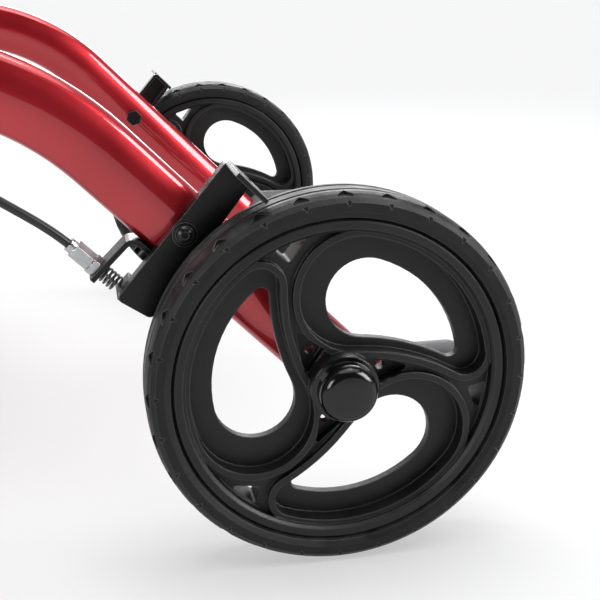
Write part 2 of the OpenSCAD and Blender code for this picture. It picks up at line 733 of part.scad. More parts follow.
// Spring latch in front of the hinge
module fold_latch() {
    color([0.55, 0.05, 0.08]) translate([front_x + latch_x, 0, hinge_z - latch_drop]) difference() {
        union() {
            rotate([90, 0, 0]) cylinder(r = 5, h = 28, center = true);
            rotate([90, 0, 0]) translate([0, 0, -14]) linear_extrude(28)
                polygon([[-4.5, 0], [4.5, 0], [7, 30], [12, 52], [8, 53], [2, 34], [-2, 22]]);
        }
        rotate([90, 0, 0]) cylinder(r = 2.5 + fit, h = 60, center = true);
    }
}

module column() {
    low = hinge_z + 32;
    color([0.62, 0.06, 0.1]) translate([front_x, 0, low]) difference() {
        cylinder(r = column_r, h = column_top - low);
        translate([0, 0, -1]) cylinder(r = stem_r + slide_fit, h = column_top);
        translate([-column_r - 5, -1.5, column_top - low - 40]) cube([column_r, 3, 60]);
    }
}

module column_clamp() {
    h = 30;
    color([0.07, 0.07, 0.07]) translate([front_x, 0, column_top - h + 4]) difference() {
        union() {
            cylinder(r = column_r + 5, h = h);
            translate([-column_r - 20, -9, 4]) cube([21, 18, 22]);
        }
        translate([0, 0, -1]) cylinder(r = column_r, h = h - 3);
        cylinder(r = stem_r + 0.8, h = h * 2);
        translate([-column_r - 23, -1.5, -1]) cube([25, 3, h + 2]);
        translate([-column_r - lever_gap - 3, 0, 15]) rotate([90, 0, 0])
            cylinder(r = 3 + fit, h = 40, center = true);
    }
}

// Two rings on a band round the column
module column_clips() {
    color([0.07, 0.07, 0.07]) translate([front_x, 0, 620]) difference() {
        union() {
            cylinder(r = column_r + 2, h = 9);
            for (s = [-1, 1]) translate([21, s * 25, 0]) cylinder(r = cable_d / 2 + 1.7, h = 9);
            for (s = [-1, 1]) rotate(s * 50) translate([column_r + 0.8, -1.5, 1]) cube([11, 3, 7]);
        }
        translate([0, 0, -1]) cylinder(r = column_r, h = 11);
        for (s = [-1, 1]) translate([21, s * 25, -1]) cylinder(r = cable_d / 2 + 0.7, h = 11);
    }
}

// Cam lever with its cross bolt; the bolt's axis is the lever's own
module cam_lever(reach, half) {
    rotate([90, 0, 0]) cylinder(r = 3, h = 2 * half + 16, center = true);
    translate([0, -half - 5, 0]) rotate([90, 0, 0]) cylinder(r = 7, h = 5, center = true, $fn = 6);
    translate([0, half + 6, 0]) rotate([90, 0, 0]) cylinder(r = 8, h = 11, center = true);
    translate([0, half + 6, 0]) rotate([90, 0, 0]) linear_extrude(7, center = true)
        polygon(rounded([[-5, -5], [7, -5], [11, -reach * 0.5], [7, -reach], [0, -reach], [1, -reach * 0.5]], 1.5, 4));
}

module clamp_lever() {
    color([0.75, 0.76, 0.78]) translate([front_x - column_r - lever_gap - 3, 0, column_top - 11])
        cam_lever(58, 9.4);
}

module seat_lever() {
    color([0.75, 0.76, 0.78]) translate([post_x - sleeve_r - lever_gap, 0, sleeve_z[1] - 14])
        cam_lever(52, 9.9);
}

// Handlebar post with its height holes
module bar_post() {
    low = post_low;
    color([0.8, 0.81, 0.83]) translate([front_x, 0, low]) difference() {
        tube(stem_r, stem_r - 2, bar_z - 16 - low);
        for (z = [30:22:128]) translate([0, 0, z]) rotate([0, 90, 0]) cylinder(r = 3.2, h = 40);
    }
}

module along_grip(side) {
    on_side(side) translate([front_x + bar_knee.x, bar_knee.y, bar_z]) rotate([0, 0, bar_turn]) rotate([-90, 0, 0])
        children();
}

module handlebar() {
    color([0.06, 0.06, 0.06]) difference() {
        union() {
            translate([front_x, 0, bar_z]) rotate([90, 0, 0]) cylinder(d = bar_d, h = 2 * bar_mid, center = true);
            both_sides() translate([front_x - bar_bend, bar_mid, bar_z]) {
                rotate_extrude(angle = bar_turn) translate([bar_bend, 0]) circle(d = bar_d);
                rotate([0, 0, bar_turn]) translate([bar_bend, 0, 0]) rotate([-90, 0, 0])
                    cylinder(d = bar_d, h = bar_straight - 3);
            }
            translate([front_x, 0, bar_z - 30]) cylinder(r = stem_r + 3.2, h = 22);
            translate([front_x, 0, bar_z]) rotate([90, 0, 0]) cylinder(d = bar_d + 9, h = 38, center = true);
        }
        translate([front_x, 0, bar_z - 60]) cylinder(r = stem_r, h = 44);
    }
}

module grips() {
    color([0.04, 0.04, 0.04]) for (side = [1, -1]) along_grip(side) translate([0, 0, bar_straight - grip_len])
        rotate_extrude() polygon(concat(
            [[bar_d / 2 + 0.05, 0], [grip_d / 2 + 2, 0], [grip_d / 2 + 2, 4]],
            [for (i = [0:8]) [grip_d / 2 - 1.4 + 1.2 * sin(180 * i / 8), 7 + (grip_len - 16) * i / 8]],
            arc([grip_d / 2 - 3, grip_len - 3], 3, 0, 90, 4),
            [[0, grip_len], [0, grip_len - 2.8], [bar_d / 2 + 0.05, grip_len - 2.8]]
        ));
}

lever_pivot = [26, 6];

// Lever housings clamped on the bar; local Z along the grip, local X forwards
module lever_mounts() {
    color([0.07, 0.07, 0.07]) for (side = [1, -1]) along_grip(side) translate([0, 0, mount_s]) difference() {
        union() {
            translate([0, 0, -9]) cylinder(d = bar_d + 8, h = 18);
            translate([8, -9, -12]) cube([lever_pivot.x + 2, 4, 24]);
            translate([8, 7, -12]) cube([lever_pivot.x + 2, 4, 24]);
            translate([8, -9, -12]) cube([8, 20, 18]);
            translate([lever_pivot.x - 2, 1, -26]) cylinder(r = 4.5, h = 15);
            translate([lever_pivot.x - 8, -9, -15]) cube([12, 20, 4]);
            translate([lever_pivot.x, 0, lever_pivot.y]) rotate([90, 0, 0]) cylinder(r = 3, h = 26, center = true);
        }
        translate([0, 0, -30]) cylinder(d = bar_d, h = 60);
        translate([lever_pivot.x - 2, 1, -30]) cylinder(r = 1.4, h = 60);
        translate([lever_pivot.x - 2, 1, -30]) cylinder(r = cable_d / 2 + 0.1, h = 14);
    }
}

module brake_lever(side) {
    color([0.1, 0.1, 0.1]) along_grip(side) translate([0, 0, mount_s]) difference() {
        translate([0, 6 - 0.4, 0]) rotate([90, 0, 0]) linear_extrude(10.2) polygon(rounded([
            [lever_pivot.x - 7, lever_pivot.y - 5], [lever_pivot.x + 8, lever_pivot.y - 6],
            [lever_pivot.x + 17, 18], [lever_pivot.x + 28, 44], [lever_pivot.x + 27, 108],
            [lever_pivot.x + 19, 108], [lever_pivot.x + 18, 48], [lever_pivot.x + 6, 20],
            [lever_pivot.x - 6, lever_pivot.y + 6]], 2, 4));
        translate([lever_pivot.x, 0, lever_pivot.y]) rotate([90, 0, 0]) cylinder(r = 3 + fit, h = 40, center = true);
    }
}

// ---- Knee rest

module knee_post() {
    color([0.8, 0.81, 0.83]) translate([post_x, 0, post_bottom]) difference() {
        tube(post_d / 2, post_d / 2 - 2.2, tray_z - post_bottom);
        for (z = [24:20:170]) translate([0, 0, z]) rotate([0, 90, 0]) cylinder(r = 3.4, h = 40);
    }
}

module knee_tray() {
    color([0.07, 0.07, 0.07]) difference() {
        union() {
            translate([pad_x, 0, tray_z]) linear_extrude(tray_t) polygon(rounded([
                for (p = [[1, 1], [-1, 1], [-1, -1], [1, -1]]) [p.x * (pad_l / 2 - 22), p.y * (pad_w / 2 - 18)]], 20, 6));
            translate([post_x, 0, tray_z - 26]) difference() {
                cylinder(r = post_d / 2 + 5, h = 27);
                translate([0, 0, -1]) cylinder(r = post_d / 2, h = 27);
            }
        }
        for (s = [-1, 1], t = [-1, 1]) translate([pad_x + s * pad_l * 0.32, t * pad_w * 0.26, tray_z - 2])
            cylinder(r = 2.75, h = 20);
    }
}

module knee_pad() {
    color([0.1, 0.1, 0.1]) translate([pad_x, 0, pad_z + gap]) linear_extrude(pad_t)
        polygon(rounded([for (p = [[1, 1], [-1, 1], [-1, -1], [1, -1]]) [p.x * pad_l / 2, p.y * pad_w / 2]], 34, 8));
}

// ---- Cables

// A smooth curve through the points, by Catmull-Rom, with k steps a stretch
function smooth(p, k) = concat(
    [for (i = [0:len(p) - 2], j = [0:k - 1])
        let (
            a = p[max(i - 1, 0)], b = p[i], c = p[i + 1], d = p[min(i + 2, len(p) - 1)],
            t = j / k
        )
        0.5 * (2 * b + (c - a) * t + (2 * a - 5 * b + 4 * c - d) * t * t + (3 * b - a - 3 * c + d) * t * t * t)],
    [p[len(p) - 1]]
);

upper_route = [
    [316.53, 113.96, 911], [318.35, 106.68, 911], [321.9, 93.5, 911.4], [338, 74, 914], [360, 58, 902],
    [380, 46, 872], [391, 38, 830], [391, 32, 780], [380, 28, 732], [362, 26, 690], [338, 25, 655],
    [324, 25, 637], [321, 25, 628]
];
hinge_route = [
    [320.8, 25, 627], [320, 25, 600], [316, 28, 550], [308, 33, 490], [301, 36, 440], [294, 34, 400],
    [284, 25, 366], [281, 22, 349]
];
stem_route = [
    [280.8, 21.8, 348], [280.8, 21.9, 336], [275, 23, 319], [263, 26, 302], [250, 31, 285], [238, 38, 267],
    [228.7, 47.3, 256.6]
];
frame_route = [
    [228, 48, 256], [200, 80, 252], [165, 115, 249], [117, 163.5, 247], [73, 193, 243], [45, 201, 240.5],
    [14, 205, 240.5], [-30, 205, 240], [-62, 206, 236], [-92, 211, 220], [-118, 216, 203], [-140, 217, 189],
    [-158, 217, 176.5], [-170.6, 217, 165.8]
];

module cable_pair(route, k) {
    color([0.04, 0.04, 0.04]) both_sides() swept(smooth(route, k), cable_d / 2, 8);
}

module cables_upper() { cable_pair(upper_route, 4); }
module cables_hinge() { cable_pair(hinge_route, 3); }
module cables_stem() { cable_pair(stem_route, 3); }
module cables_frame() { cable_pair(frame_route, 3); }

tyre(rear_x, 1);  // tyre_rl
tyre(rear_x, -1);  // tyre_rr
tyre(front_x, 1);  // tyre_fl
tyre(front_x, -1);  // tyre_fr
rim(rear_x, 1);  // rim_rl
rim(rear_x, -1);  // rim_rr
rim(front_x, 1);  // rim_fl
rim(front_x, -1);  // rim_fr
cap(rear_x, 1);  // cap_rl
cap(rear_x, -1);  // cap_rr
cap(front_x, 1);  // cap_fl
cap(front_x, -1);  // cap_fr
bearings(rear_x, 1);  // bearings_rl
bearings(rear_x, -1);  // bearings_rr
bearings(front_x, 1);  // bearings_fl
bearings(front_x, -1);  // bearings_fr
rear_axles();
rail(1);  // rail_left
rail(-1);  // rail_right
tip_pegs();
cross_frame();
head_tube();
headset();
front_beam();
kingpins();
cable_brackets();
cable_adjusters();
brake_arm(1);  // brake_arm_left
brake_arm(-1);  // brake_arm_right
brake_bolts();
brake_spring(1);  // brake_spring_left
brake_spring(-1);  // brake_spring_right
knuckle(1);  // knuckle_left
knuckle(-1);  // knuckle_right
tie_rod(1);  // tie_rod_left
tie_rod(-1);  // tie_rod_right
stem();
pitman_arm();
hinge_base();
hinge_head();
hinge_pin();
fold_latch();
column();
column_clips();
column_clamp();
clamp_lever();
bar_post();
handlebar();
grips();
lever_mounts();
brake_lever(1);  // brake_lever_left
brake_lever(-1);  // brake_lever_right
knee_post();
knee_tray();
knee_pad();
seat_lever();
cables_upper();
cables_hinge();
cables_stem();
cables_frame();
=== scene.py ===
# %% [markdown]
# # A knee scooter, from its frame to its finish
# The metal and plastic pieces come ready made from the CAD model, and each keeps its place. This lesson
# gives them their finishes, and makes by hand what CAD does badly: a padded cushion, soft ribbed grips,
# bending cables and a squeezed spring. Blender works in metres, with +X forwards, +Y left and +Z up. Routes
# and places repeated from the CAD model are in millimetres, and MM turns them into metres.

# %% Load the frame
import json
import math

import bmesh
import bpy
from mathutils import Matrix, Vector


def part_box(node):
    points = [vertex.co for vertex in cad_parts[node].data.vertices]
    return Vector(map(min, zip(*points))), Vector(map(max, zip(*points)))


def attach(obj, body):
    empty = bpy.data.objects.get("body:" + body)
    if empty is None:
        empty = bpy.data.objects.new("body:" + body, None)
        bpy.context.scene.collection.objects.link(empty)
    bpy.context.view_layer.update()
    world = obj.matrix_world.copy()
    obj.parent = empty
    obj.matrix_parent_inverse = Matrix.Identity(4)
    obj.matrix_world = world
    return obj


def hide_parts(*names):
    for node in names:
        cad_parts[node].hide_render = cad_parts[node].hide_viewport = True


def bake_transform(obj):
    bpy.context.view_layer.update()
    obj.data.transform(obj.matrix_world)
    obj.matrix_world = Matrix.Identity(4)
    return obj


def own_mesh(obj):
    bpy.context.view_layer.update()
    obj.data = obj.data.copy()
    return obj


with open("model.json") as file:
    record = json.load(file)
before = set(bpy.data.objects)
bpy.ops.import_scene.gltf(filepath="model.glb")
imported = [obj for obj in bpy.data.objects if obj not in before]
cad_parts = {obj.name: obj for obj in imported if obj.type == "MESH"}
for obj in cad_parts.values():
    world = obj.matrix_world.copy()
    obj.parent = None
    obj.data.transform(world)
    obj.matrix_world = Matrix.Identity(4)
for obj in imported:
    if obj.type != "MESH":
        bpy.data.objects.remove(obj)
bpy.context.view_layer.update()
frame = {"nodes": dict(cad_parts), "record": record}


MM = 0.001
# The right side is the left side's mirror image
SIDES = {"left": 1, "right": -1}

# %% [markdown]
# ## The camera
# It kneels beside the rear left wheel and looks slightly down and back at it, so that this wheel fills the
# frame and the rails run out of the top left corner. A camera's own axes are right, up and backwards, and
# three such directions make its turn, with no angles to work out.

# %% Place the camera
CAMERA_PLACE = (-0.1769, 0.7426, 0.3019)
FOCAL_LENGTH = 62.06
camera = bpy.data.objects.new("camera", bpy.data.cameras.new("camera"))
bpy.context.scene.collection.objects.link(camera)
camera_right = Vector((-0.9782, 0.2075, 0.0))
camera_up = Vector((-0.0631, -0.2976, 0.9526))
camera_back = camera_right.cross(camera_up)
turn = Matrix((camera_right, camera_up, camera_back)).transposed().to_4x4()
camera.matrix_world = Matrix.Translation(CAMERA_PLACE) @ turn
camera.data.lens = FOCAL_LENGTH
camera.data.sensor_width = 36.0
camera.data.clip_start = 0.01
bpy.context.scene.camera = camera
print("camera at", [round(value, 3) for value in camera.location])

# %% [markdown]
# ## The studio
# A product studio is a white sweep under a wide, soft ceiling of light. Here a very broad sun lights a
# floor that runs out of sight, and the floor glows a little itself, so that only a soft shadow is left under
# each wheel. Black plastic shows its form by what it mirrors, so the room is bright behind the scooter and
# dark behind the camera, and four panels draw the bright bands along the tubes and the two small windows of
# light on each polished cap.

# %% Lay the floor
FLOOR_SIZE = 90.0
bpy.ops.object.select_all(action="DESELECT")
bpy.ops.mesh.primitive_plane_add(size=FLOOR_SIZE, location=(0, 0, 0))
floor = bpy.context.active_object
floor.name = "floor"

floor_paper = bpy.data.materials.new("floor_paper")
floor_paper.use_nodes = True
paper_shader = floor_paper.node_tree.nodes["Principled BSDF"]
paper_shader.inputs["Base Color"].default_value = (0.45, 0.45, 0.455, 1)
paper_shader.inputs["Emission Color"].default_value = (1, 1, 1, 1)
paper_shader.inputs["Emission Strength"].default_value = 0.5
paper_shader.inputs["Roughness"].default_value = 0.7
paper_shader.inputs["Specular IOR Level"].default_value = 0.15
floor.data.materials.append(floor_paper)

# %% Hang the lights
sun = bpy.data.objects.new("ceiling", bpy.data.lights.new("ceiling", "SUN"))
sun.data.energy = 1.65
sun.data.angle = math.radians(60)
sun.rotation_euler = (math.radians(-3), math.radians(-8), 0)
bpy.context.scene.collection.objects.link(sun)

# Each panel: name, place, the point it faces, width, height, power, and whether it lights dull surfaces
# too. Those that don't are seen only as reflections, and no panel is itself in view.
PANELS = (
    ("top_panel", (-0.25, 0.0, 1.5), (-0.2, 0.1, 0.25), 1.1, 0.22, 7.0, True),
    ("front_window", (0.94, 1.26, 0.62), (-0.3, 0.26, 0.1), 0.55, 0.7, 13.0, False),
    ("rear_window", (-1.62, 1.02, 0.8), (-0.3, 0.26, 0.1), 0.8, 1.0, 40.0, False),
    ("back_panel", (-0.55, -1.7, 0.8), (-0.3, 0.26, 0.1), 1.8, 0.7, 22.0, False),
)
for name, place, target, width, height, power, for_all in PANELS:
    panel = bpy.data.objects.new(name, bpy.data.lights.new(name, "AREA"))
    panel.data.shape = "RECTANGLE"
    panel.data.size = width
    panel.data.size_y = height
    panel.data.energy = power
    panel.location = place
    panel.rotation_euler = (Vector(target) - Vector(place)).to_track_quat("-Z", "Y").to_euler()
    panel.visible_diffuse = for_all
    panel.visible_camera = False
    bpy.context.scene.collection.objects.link(panel)

bpy.context.scene.view_settings.view_transform = "Standard"
print("lights", 1 + len(PANELS))

# %% [markdown]
# ## Tools for finishes
# A real surface is never one colour. Four things return on nearly every piece here: a grain, edges that
# are slightly rounded and carry a painted highlight, dust that settles on what faces up, and a leather's
# pebbles.
# Each is a node group, built once and used in each material with its own values.

# %% A helper that adds one shader node
def add(tree, kind, settings=None, **inputs):
    """One shader node; an input given as a socket is linked, and any other value is typed in."""
    new = tree.nodes.new("ShaderNode" + kind)
    for key, value in (settings or {}).items():
        setattr(new, key, value)
    for key, value in inputs.items():
        name = key.replace("_", " ")
        socket = next(s for s in new.inputs if s.name == name and s.enabled)
        if isinstance(value, bpy.types.NodeSocket):
            tree.links.new(value, socket)
        else:
            socket.default_value = value
    return new


def new_group(name, inputs, outputs):
    """An empty node group with float inputs at their usual values, and its inner input and output nodes."""
    group = bpy.data.node_groups.new(name, "ShaderNodeTree")
    for key, value in inputs.items():
        group.interface.new_socket(key, in_out="INPUT", socket_type="NodeSocketFloat").default_value = value
    for key, kind in outputs.items():
        group.interface.new_socket(key, in_out="OUTPUT", socket_type=kind)
    return group, group.nodes.new("NodeGroupInput"), group.nodes.new("NodeGroupOutput")


# %% The room: bright behind the scooter, dark behind the camera
DARK_GLOW = 0.04
BRIGHT_GLOW = 0.74
room = bpy.data.worlds.new("room")
bpy.context.scene.world = room
room.use_nodes = True
walls = room.node_tree
way = add(walls, "TexCoord")
sides = add(walls, "SeparateXYZ", Vector=way.outputs["Generated"])
glow = add(walls, "MapRange", Value=sides.outputs["Y"], From_Min=0.35, From_Max=-0.45, To_Min=DARK_GLOW,
           To_Max=BRIGHT_GLOW)
lit = walls.nodes["Background"]
lit.inputs["Color"].default_value = (0.97, 0.98, 1.0, 1)
walls.links.new(glow.outputs["Result"], lit.inputs["Strength"])
seen = add(walls, "Background", Color=(0.935, 0.935, 0.94, 1))
rays = add(walls, "LightPath")
either = add(walls, "MixShader", Fac=rays.outputs["Is Camera Ray"])
walls.links.new(lit.outputs["Background"], either.inputs[1])
walls.links.new(seen.outputs["Background"], either.inputs[2])
walls.links.new(either.outputs["Shader"], walls.nodes["World Output"].inputs["Surface"])
print("room ready")

# %% Grain: soft patches or fine speckle, by its scale
def make_grain():
    group, given, out = new_group("grain", {"Scale": 40.0, "Low": 0.35, "High": 0.65},
                                  {"Mask": "NodeSocketFloat"})
    place = add(group, "TexCoord")
    noise = add(group, "TexNoise", Vector=place.outputs["Object"], Scale=given.outputs["Scale"], Detail=4.0,
                Roughness=0.6)
    mask = add(group, "MapRange", Value=noise.outputs["Fac"], From_Min=given.outputs["Low"],
               From_Max=given.outputs["High"])
    group.links.new(mask.outputs["Result"], out.inputs["Mask"])
    return group


grain = make_grain()

# %% Edges: where two faces meet, a small round, and a mask for a painted highlight along it
# The cosine between the rounded and the flat face: no edge above the first value, all edge below the second
NO_EDGE = 0.985
ALL_EDGE = 0.86


def make_edges():
    group, given, out = new_group("edges", {"Radius": 0.0008},
                                  {"Edge": "NodeSocketFloat", "Normal": "NodeSocketVector"})
    rounded = add(group, "Bevel", {"samples": 6}, Radius=given.outputs["Radius"])
    flat = add(group, "NewGeometry")
    match = add(group, "VectorMath", {"operation": "DOT_PRODUCT"})
    group.links.new(rounded.outputs["Normal"], match.inputs[0])
    group.links.new(flat.outputs["Normal"], match.inputs[1])
    # Painted highlight: this mask marks the edges, which the recipe paints lighter as if they caught the
    # light
    mask = add(group, "MapRange", Value=match.outputs["Value"], From_Min=NO_EDGE, From_Max=ALL_EDGE)
    group.links.new(mask.outputs["Result"], out.inputs["Edge"])
    group.links.new(rounded.outputs["Normal"], out.inputs["Normal"])
    return group


edges = make_edges()

# %% Dust: on what faces up, in patches
def make_dust():
    group, given, out = new_group("dust", {"Scale": 60.0}, {"Mask": "NodeSocketFloat"})
    place = add(group, "TexCoord")
    flat = add(group, "NewGeometry")
    parts = add(group, "SeparateXYZ", Vector=flat.outputs["Normal"])
    up = add(group, "MapRange", Value=parts.outputs["Z"], From_Min=0.2, From_Max=1.0)
    noise = add(group, "TexNoise", Vector=place.outputs["Object"], Scale=given.outputs["Scale"], Detail=6.0)
    patches = add(group, "MapRange", Value=noise.outputs["Fac"], From_Min=0.4, From_Max=0.75)
    both = add(group, "Math", {"operation": "MULTIPLY"})
    group.links.new(up.outputs["Result"], both.inputs[0])
    group.links.new(patches.outputs["Result"], both.inputs[1])
    group.links.new(both.outputs["Value"], out.inputs["Mask"])
    return group


dust = make_dust()

# %% Pebbles: the closed cells of leather grain
def make_pebbles():
    group, given, out = new_group("pebbles", {"Scale": 700.0}, {"Height": "NodeSocketFloat"})
    place = add(group, "TexCoord")
    cells = add(group, "TexVoronoi", {"feature": "DISTANCE_TO_EDGE"}, Vector=place.outputs["Object"],
                Scale=given.outputs["Scale"])
    height = add(group, "MapRange", {"interpolation_type": "SMOOTHSTEP"}, Value=cells.outputs["Distance"],
                 From_Min=0.0, From_Max=0.22)
    group.links.new(height.outputs["Result"], out.inputs["Height"])
    return group


pebbles = make_pebbles()
print("node groups", [group.name for group in bpy.data.node_groups])

# %% [markdown]
# ## One recipe, many finishes
# Paint, rubber, plastic and plated steel differ in their numbers more than in their build. The recipe mixes
# two near colours in patches, paints a highlight along the edges, lays dust, varies the gloss and raises a
# fine grain.

# %% The recipe
DUST_COLOUR = (0.42, 0.41, 0.4)


def use(tree, group, **inputs):
    """The node group placed in a material's tree, with its own values."""
    new = tree.nodes.new("ShaderNodeGroup")
    new.node_tree = group
    for key, value in inputs.items():
        new.inputs[key].default_value = value
    return new


def mixed(tree, amount, first, second):
    """first turns into second where amount is 1; each is a colour or a socket."""
    new = tree.nodes.new("ShaderNodeMix")
    new.data_type = "RGBA"
    for socket, value in ((new.inputs[0], amount), (new.inputs[6], first), (new.inputs[7], second)):
        if isinstance(value, bpy.types.NodeSocket):
            tree.links.new(value, socket)
        elif isinstance(value, tuple):
            socket.default_value = (*value, 1)
        else:
            socket.default_value = value
    return new.outputs[2]


def scaled(tree, value, share):
    """A mask weakened to a share of its strength."""
    return add(tree, "MapRange", Value=value, To_Max=share).outputs["Result"]


def finish(name, dark, light, gloss, patch=35.0, bump=900.0, depth=0.00004, edge=0.15,
           highlight_colour=(0.3, 0.3, 0.31), radius=0.0008, dusty=0.05, height=None, **shader_values):
    """A material: colours dark to light, gloss as lowest and highest roughness, bump as the grain's scale;
    the edge values paint a highlight along edges.
    """
    material = bpy.data.materials.new(name)
    material.use_nodes = True
    tree = material.node_tree
    shader = tree.nodes["Principled BSDF"]
    patches = use(tree, grain, Scale=patch)
    speckle = use(tree, grain, Scale=bump, Low=0.3, High=0.7)
    rim_light = use(tree, edges, Radius=radius)
    settled = use(tree, dust)
    colour = mixed(tree, patches.outputs["Mask"], dark, light)
    # Painted highlight: the edges are mixed towards a lighter colour, as if they caught the light
    colour = mixed(tree, scaled(tree, rim_light.outputs["Edge"], edge), colour, highlight_colour)
    colour = mixed(tree, scaled(tree, settled.outputs["Mask"], dusty), colour, DUST_COLOUR)
    tree.links.new(colour, shader.inputs["Base Color"])
    rough = add(tree, "MapRange", Value=patches.outputs["Mask"], To_Min=gloss[0], To_Max=gloss[1])
    tree.links.new(rough.outputs["Result"], shader.inputs["Roughness"])
    relief = height(tree) if height else speckle.outputs["Mask"]
    raised = add(tree, "Bump", Distance=depth, Height=relief, Normal=rim_light.outputs["Normal"])
    tree.links.new(raised.outputs["Normal"], shader.inputs["Normal"])
    for key, value in shader_values.items():
        shader.inputs[key.replace("_", " ")].default_value = value
    return material


# %% [markdown]
# ## Red paint
# The rails wear a candy red: bright flakes under a tinted coat, under clear lacquer. Part of the colour
# is metallic, so it darkens and deepens where the tube turns away, and the coat mirrors the ceiling on top.

# %% Mix the red paint
FLAKE_SCALE = 2600.0


def flakes(tree):
    """A faint sparkle: tiny cells, each with its own height."""
    place = add(tree, "TexCoord")
    cells = add(tree, "TexVoronoi", Vector=place.outputs["Object"], Scale=FLAKE_SCALE)
    return add(tree, "SeparateXYZ", Vector=cells.outputs["Color"]).outputs["X"]


PAINT_VALUES = dict(patch=14.0, depth=0.000006, edge=0.0, radius=0.0012, dusty=0.02, height=flakes,
                    Metallic=0.62, Coat_Weight=1.0, Coat_Roughness=0.045, Coat_IOR=1.5)
finishes = {
    "frame_paint": finish("candy_red_paint", (0.42, 0.006, 0.014), (0.48, 0.009, 0.019), (0.3, 0.36),
                          **PAINT_VALUES),
    "latch_paint": finish("latch_red_paint", (0.42, 0.01, 0.02), (0.5, 0.02, 0.03), (0.34, 0.4),
                          **PAINT_VALUES),
}

# %% [markdown]
# ## Black plastics, rubbers and coats
# Seven blacks sit side by side, and only their gloss and grain keep them apart: a wheel is moulded with a
# fine texture, its cap is polished, a tyre is dull with a painted highlight along the edges of its blocks,
# and powder coat is satin. The pegs in the rails' ends are grey.

# %% Mix the blacks
# The edge values paint a highlight along each piece's edges; the tyre's and the powder coat's are strongest
finishes["rim"] = finish("moulded_wheel_plastic", (0.006, 0.006, 0.0065), (0.01, 0.01, 0.0105), (0.36, 0.46),
                         bump=1500.0, depth=0.00006, edge=0.2, radius=0.0012, Specular_IOR_Level=0.34)
finishes["hub_cap"] = finish("polished_cap_plastic", (0.004, 0.004, 0.004), (0.006, 0.006, 0.006),
                             (0.12, 0.17), bump=300.0, depth=0.000006, edge=0.0, radius=0.001, dusty=0.02,
                             Specular_IOR_Level=0.42)
finishes["tyre"] = finish("solid_tyre_rubber", (0.006, 0.006, 0.0065), (0.01, 0.01, 0.0105), (0.4, 0.52),
                          patch=70.0, bump=1100.0, depth=0.00008, edge=0.6, highlight_colour=(0.26, 0.26, 0.265),
                          radius=0.0006, dusty=0.22, Specular_IOR_Level=0.27)
finishes["black_paint"] = finish("satin_powder_coat", (0.003, 0.003, 0.0035), (0.005, 0.005, 0.0055),
                                 (0.24, 0.3), bump=1300.0, depth=0.00003, edge=0.6,
                                 highlight_colour=(0.34, 0.34, 0.35), radius=0.0007, Specular_IOR_Level=0.3)
finishes["black_plastic"] = finish("black_fitting_plastic", (0.008, 0.008, 0.0085), (0.013, 0.013, 0.0135),
                                   (0.42, 0.52), bump=1300.0, depth=0.00005, edge=0.08)
finishes["cable_sleeve"] = finish("cable_sleeve_plastic", (0.01, 0.01, 0.011), (0.016, 0.016, 0.017),
                                  (0.34, 0.44), bump=900.0, depth=0.00002, edge=0.0, radius=0.0003)
finishes["grip_rubber"] = finish("soft_grip_rubber", (0.012, 0.012, 0.013), (0.02, 0.02, 0.021), (0.6, 0.75),
                                 bump=2200.0, depth=0.0001, edge=0.12, radius=0.0006)
finishes["peg_rubber"] = finish("grey_peg_rubber", (0.13, 0.13, 0.135), (0.18, 0.18, 0.185), (0.5, 0.62),
                                bump=1200.0, depth=0.00006, edge=0.05)

# %% [markdown]
# ## Metals
# Zinc plate is a soft silver with cloudy patches, the spring is dark and oiled, and the height tubes are
# satin silver, with a grain of fine lines drawn along them.

# %% Mix the metals
def drawn_lines(tree):
    """Fine lines along Z, from noise that is stretched in that direction."""
    place = add(tree, "TexCoord")
    squeezed = add(tree, "Mapping", Vector=place.outputs["Object"], Scale=(2400.0, 2400.0, 12.0))
    return add(tree, "TexNoise", Vector=squeezed.outputs["Vector"], Scale=1.0, Detail=2.0).outputs["Fac"]


# The pale edge colours of zinc and tube are painted highlights along their edges
finishes["zinc_steel"] = finish("zinc_plated_steel", (0.4, 0.41, 0.43), (0.52, 0.53, 0.54), (0.24, 0.36),
                                patch=160.0, bump=1500.0, depth=0.00003, edge=0.3,
                                highlight_colour=(0.85, 0.85, 0.86), radius=0.0005, dusty=0.02, Metallic=1.0)
finishes["spring_steel"] = finish("oiled_spring_steel", (0.08, 0.08, 0.085), (0.14, 0.14, 0.145), (0.28, 0.4),
                                  patch=220.0, edge=0.0, radius=0.0002, dusty=0.0, Metallic=1.0)
finishes["bright_tube"] = finish("satin_silver_tube", (0.6, 0.61, 0.63), (0.68, 0.69, 0.71), (0.26, 0.32),
                                 patch=25.0, depth=0.00003, edge=0.2, highlight_colour=(0.8, 0.8, 0.81),
                                 dusty=0.02, height=drawn_lines, Metallic=1.0)

# %% Leatherette, with a grain of pebbles
PEBBLE_SCALE = 620.0


def leather_height(tree):
    """The pebbled relief of the cushion's cover."""
    return use(tree, pebbles, Scale=PEBBLE_SCALE).outputs["Height"]


finishes["cushion"] = finish("black_leatherette", (0.01, 0.01, 0.011), (0.017, 0.017, 0.018), (0.5, 0.62),
                             patch=18.0, depth=0.00022, edge=0.0, radius=0.0005, dusty=0.05,
                             height=leather_height, Specular_IOR_Level=0.3)
print("finishes", len(finishes))

# %% [markdown]
# ## Dress the CAD pieces
# The record says which finish each CAD node has, so one loop dresses them all.

# %% Give each node its finish
for part in frame["record"]["subparts"]:
    holder = frame["nodes"][part["node"]]
    for holder_slot in holder.material_slots:
        holder_slot.material = finishes[part["material_slot"]]

# %% [markdown]
# ## Tools for new pieces
# A lathe turns a profile: one point is pulled through the profile by extrusion and then spun round an axis.
# A cable is a smooth curve with thickness, made a mesh.

# %% A lathe, worked by hand
def start_clean():
    """Deselects everything, because an operator acts on all that is selected."""
    bpy.ops.object.select_all(action="DESELECT")


